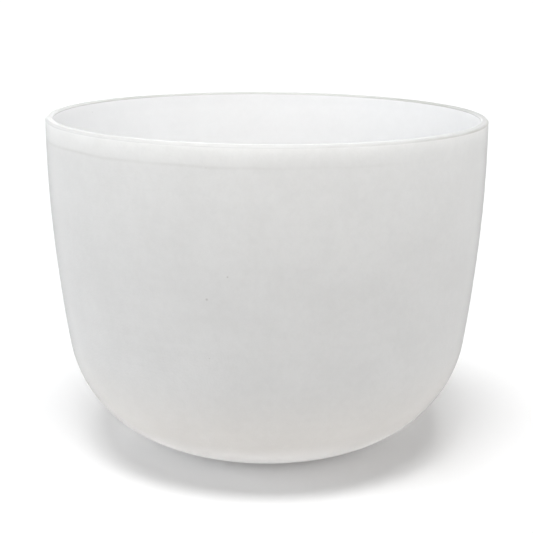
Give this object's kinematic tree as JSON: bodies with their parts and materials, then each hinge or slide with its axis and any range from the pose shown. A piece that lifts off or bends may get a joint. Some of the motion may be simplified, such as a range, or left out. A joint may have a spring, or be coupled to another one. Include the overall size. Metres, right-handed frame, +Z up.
{
  "type": "singing bowl",
  "caption": "Open round singing bowl of frosted white quartz, with nearly upright sides, a rounded shoulder, a domed bottom, a ground rim and a flat foot to stand on.",
  "frame": {"origin": "centre of the flat foot, on the surface that the bowl stands on", "axes": "+Z up along the bowl's axis, out of the open mouth; the bowl is round, so +X and +Y are any two level directions at right angles"},
  "size_m": [0.305, 0.305, 0.232],
  "materials": {
    "frosted_quartz": "frosted white fused quartz, milky and barely see-through, matt outside, smoother inside and ground at the rim"
  },
  "bodies": {
    "root": {"bowl": "frosted_quartz"}
  },
  "joints": []
}
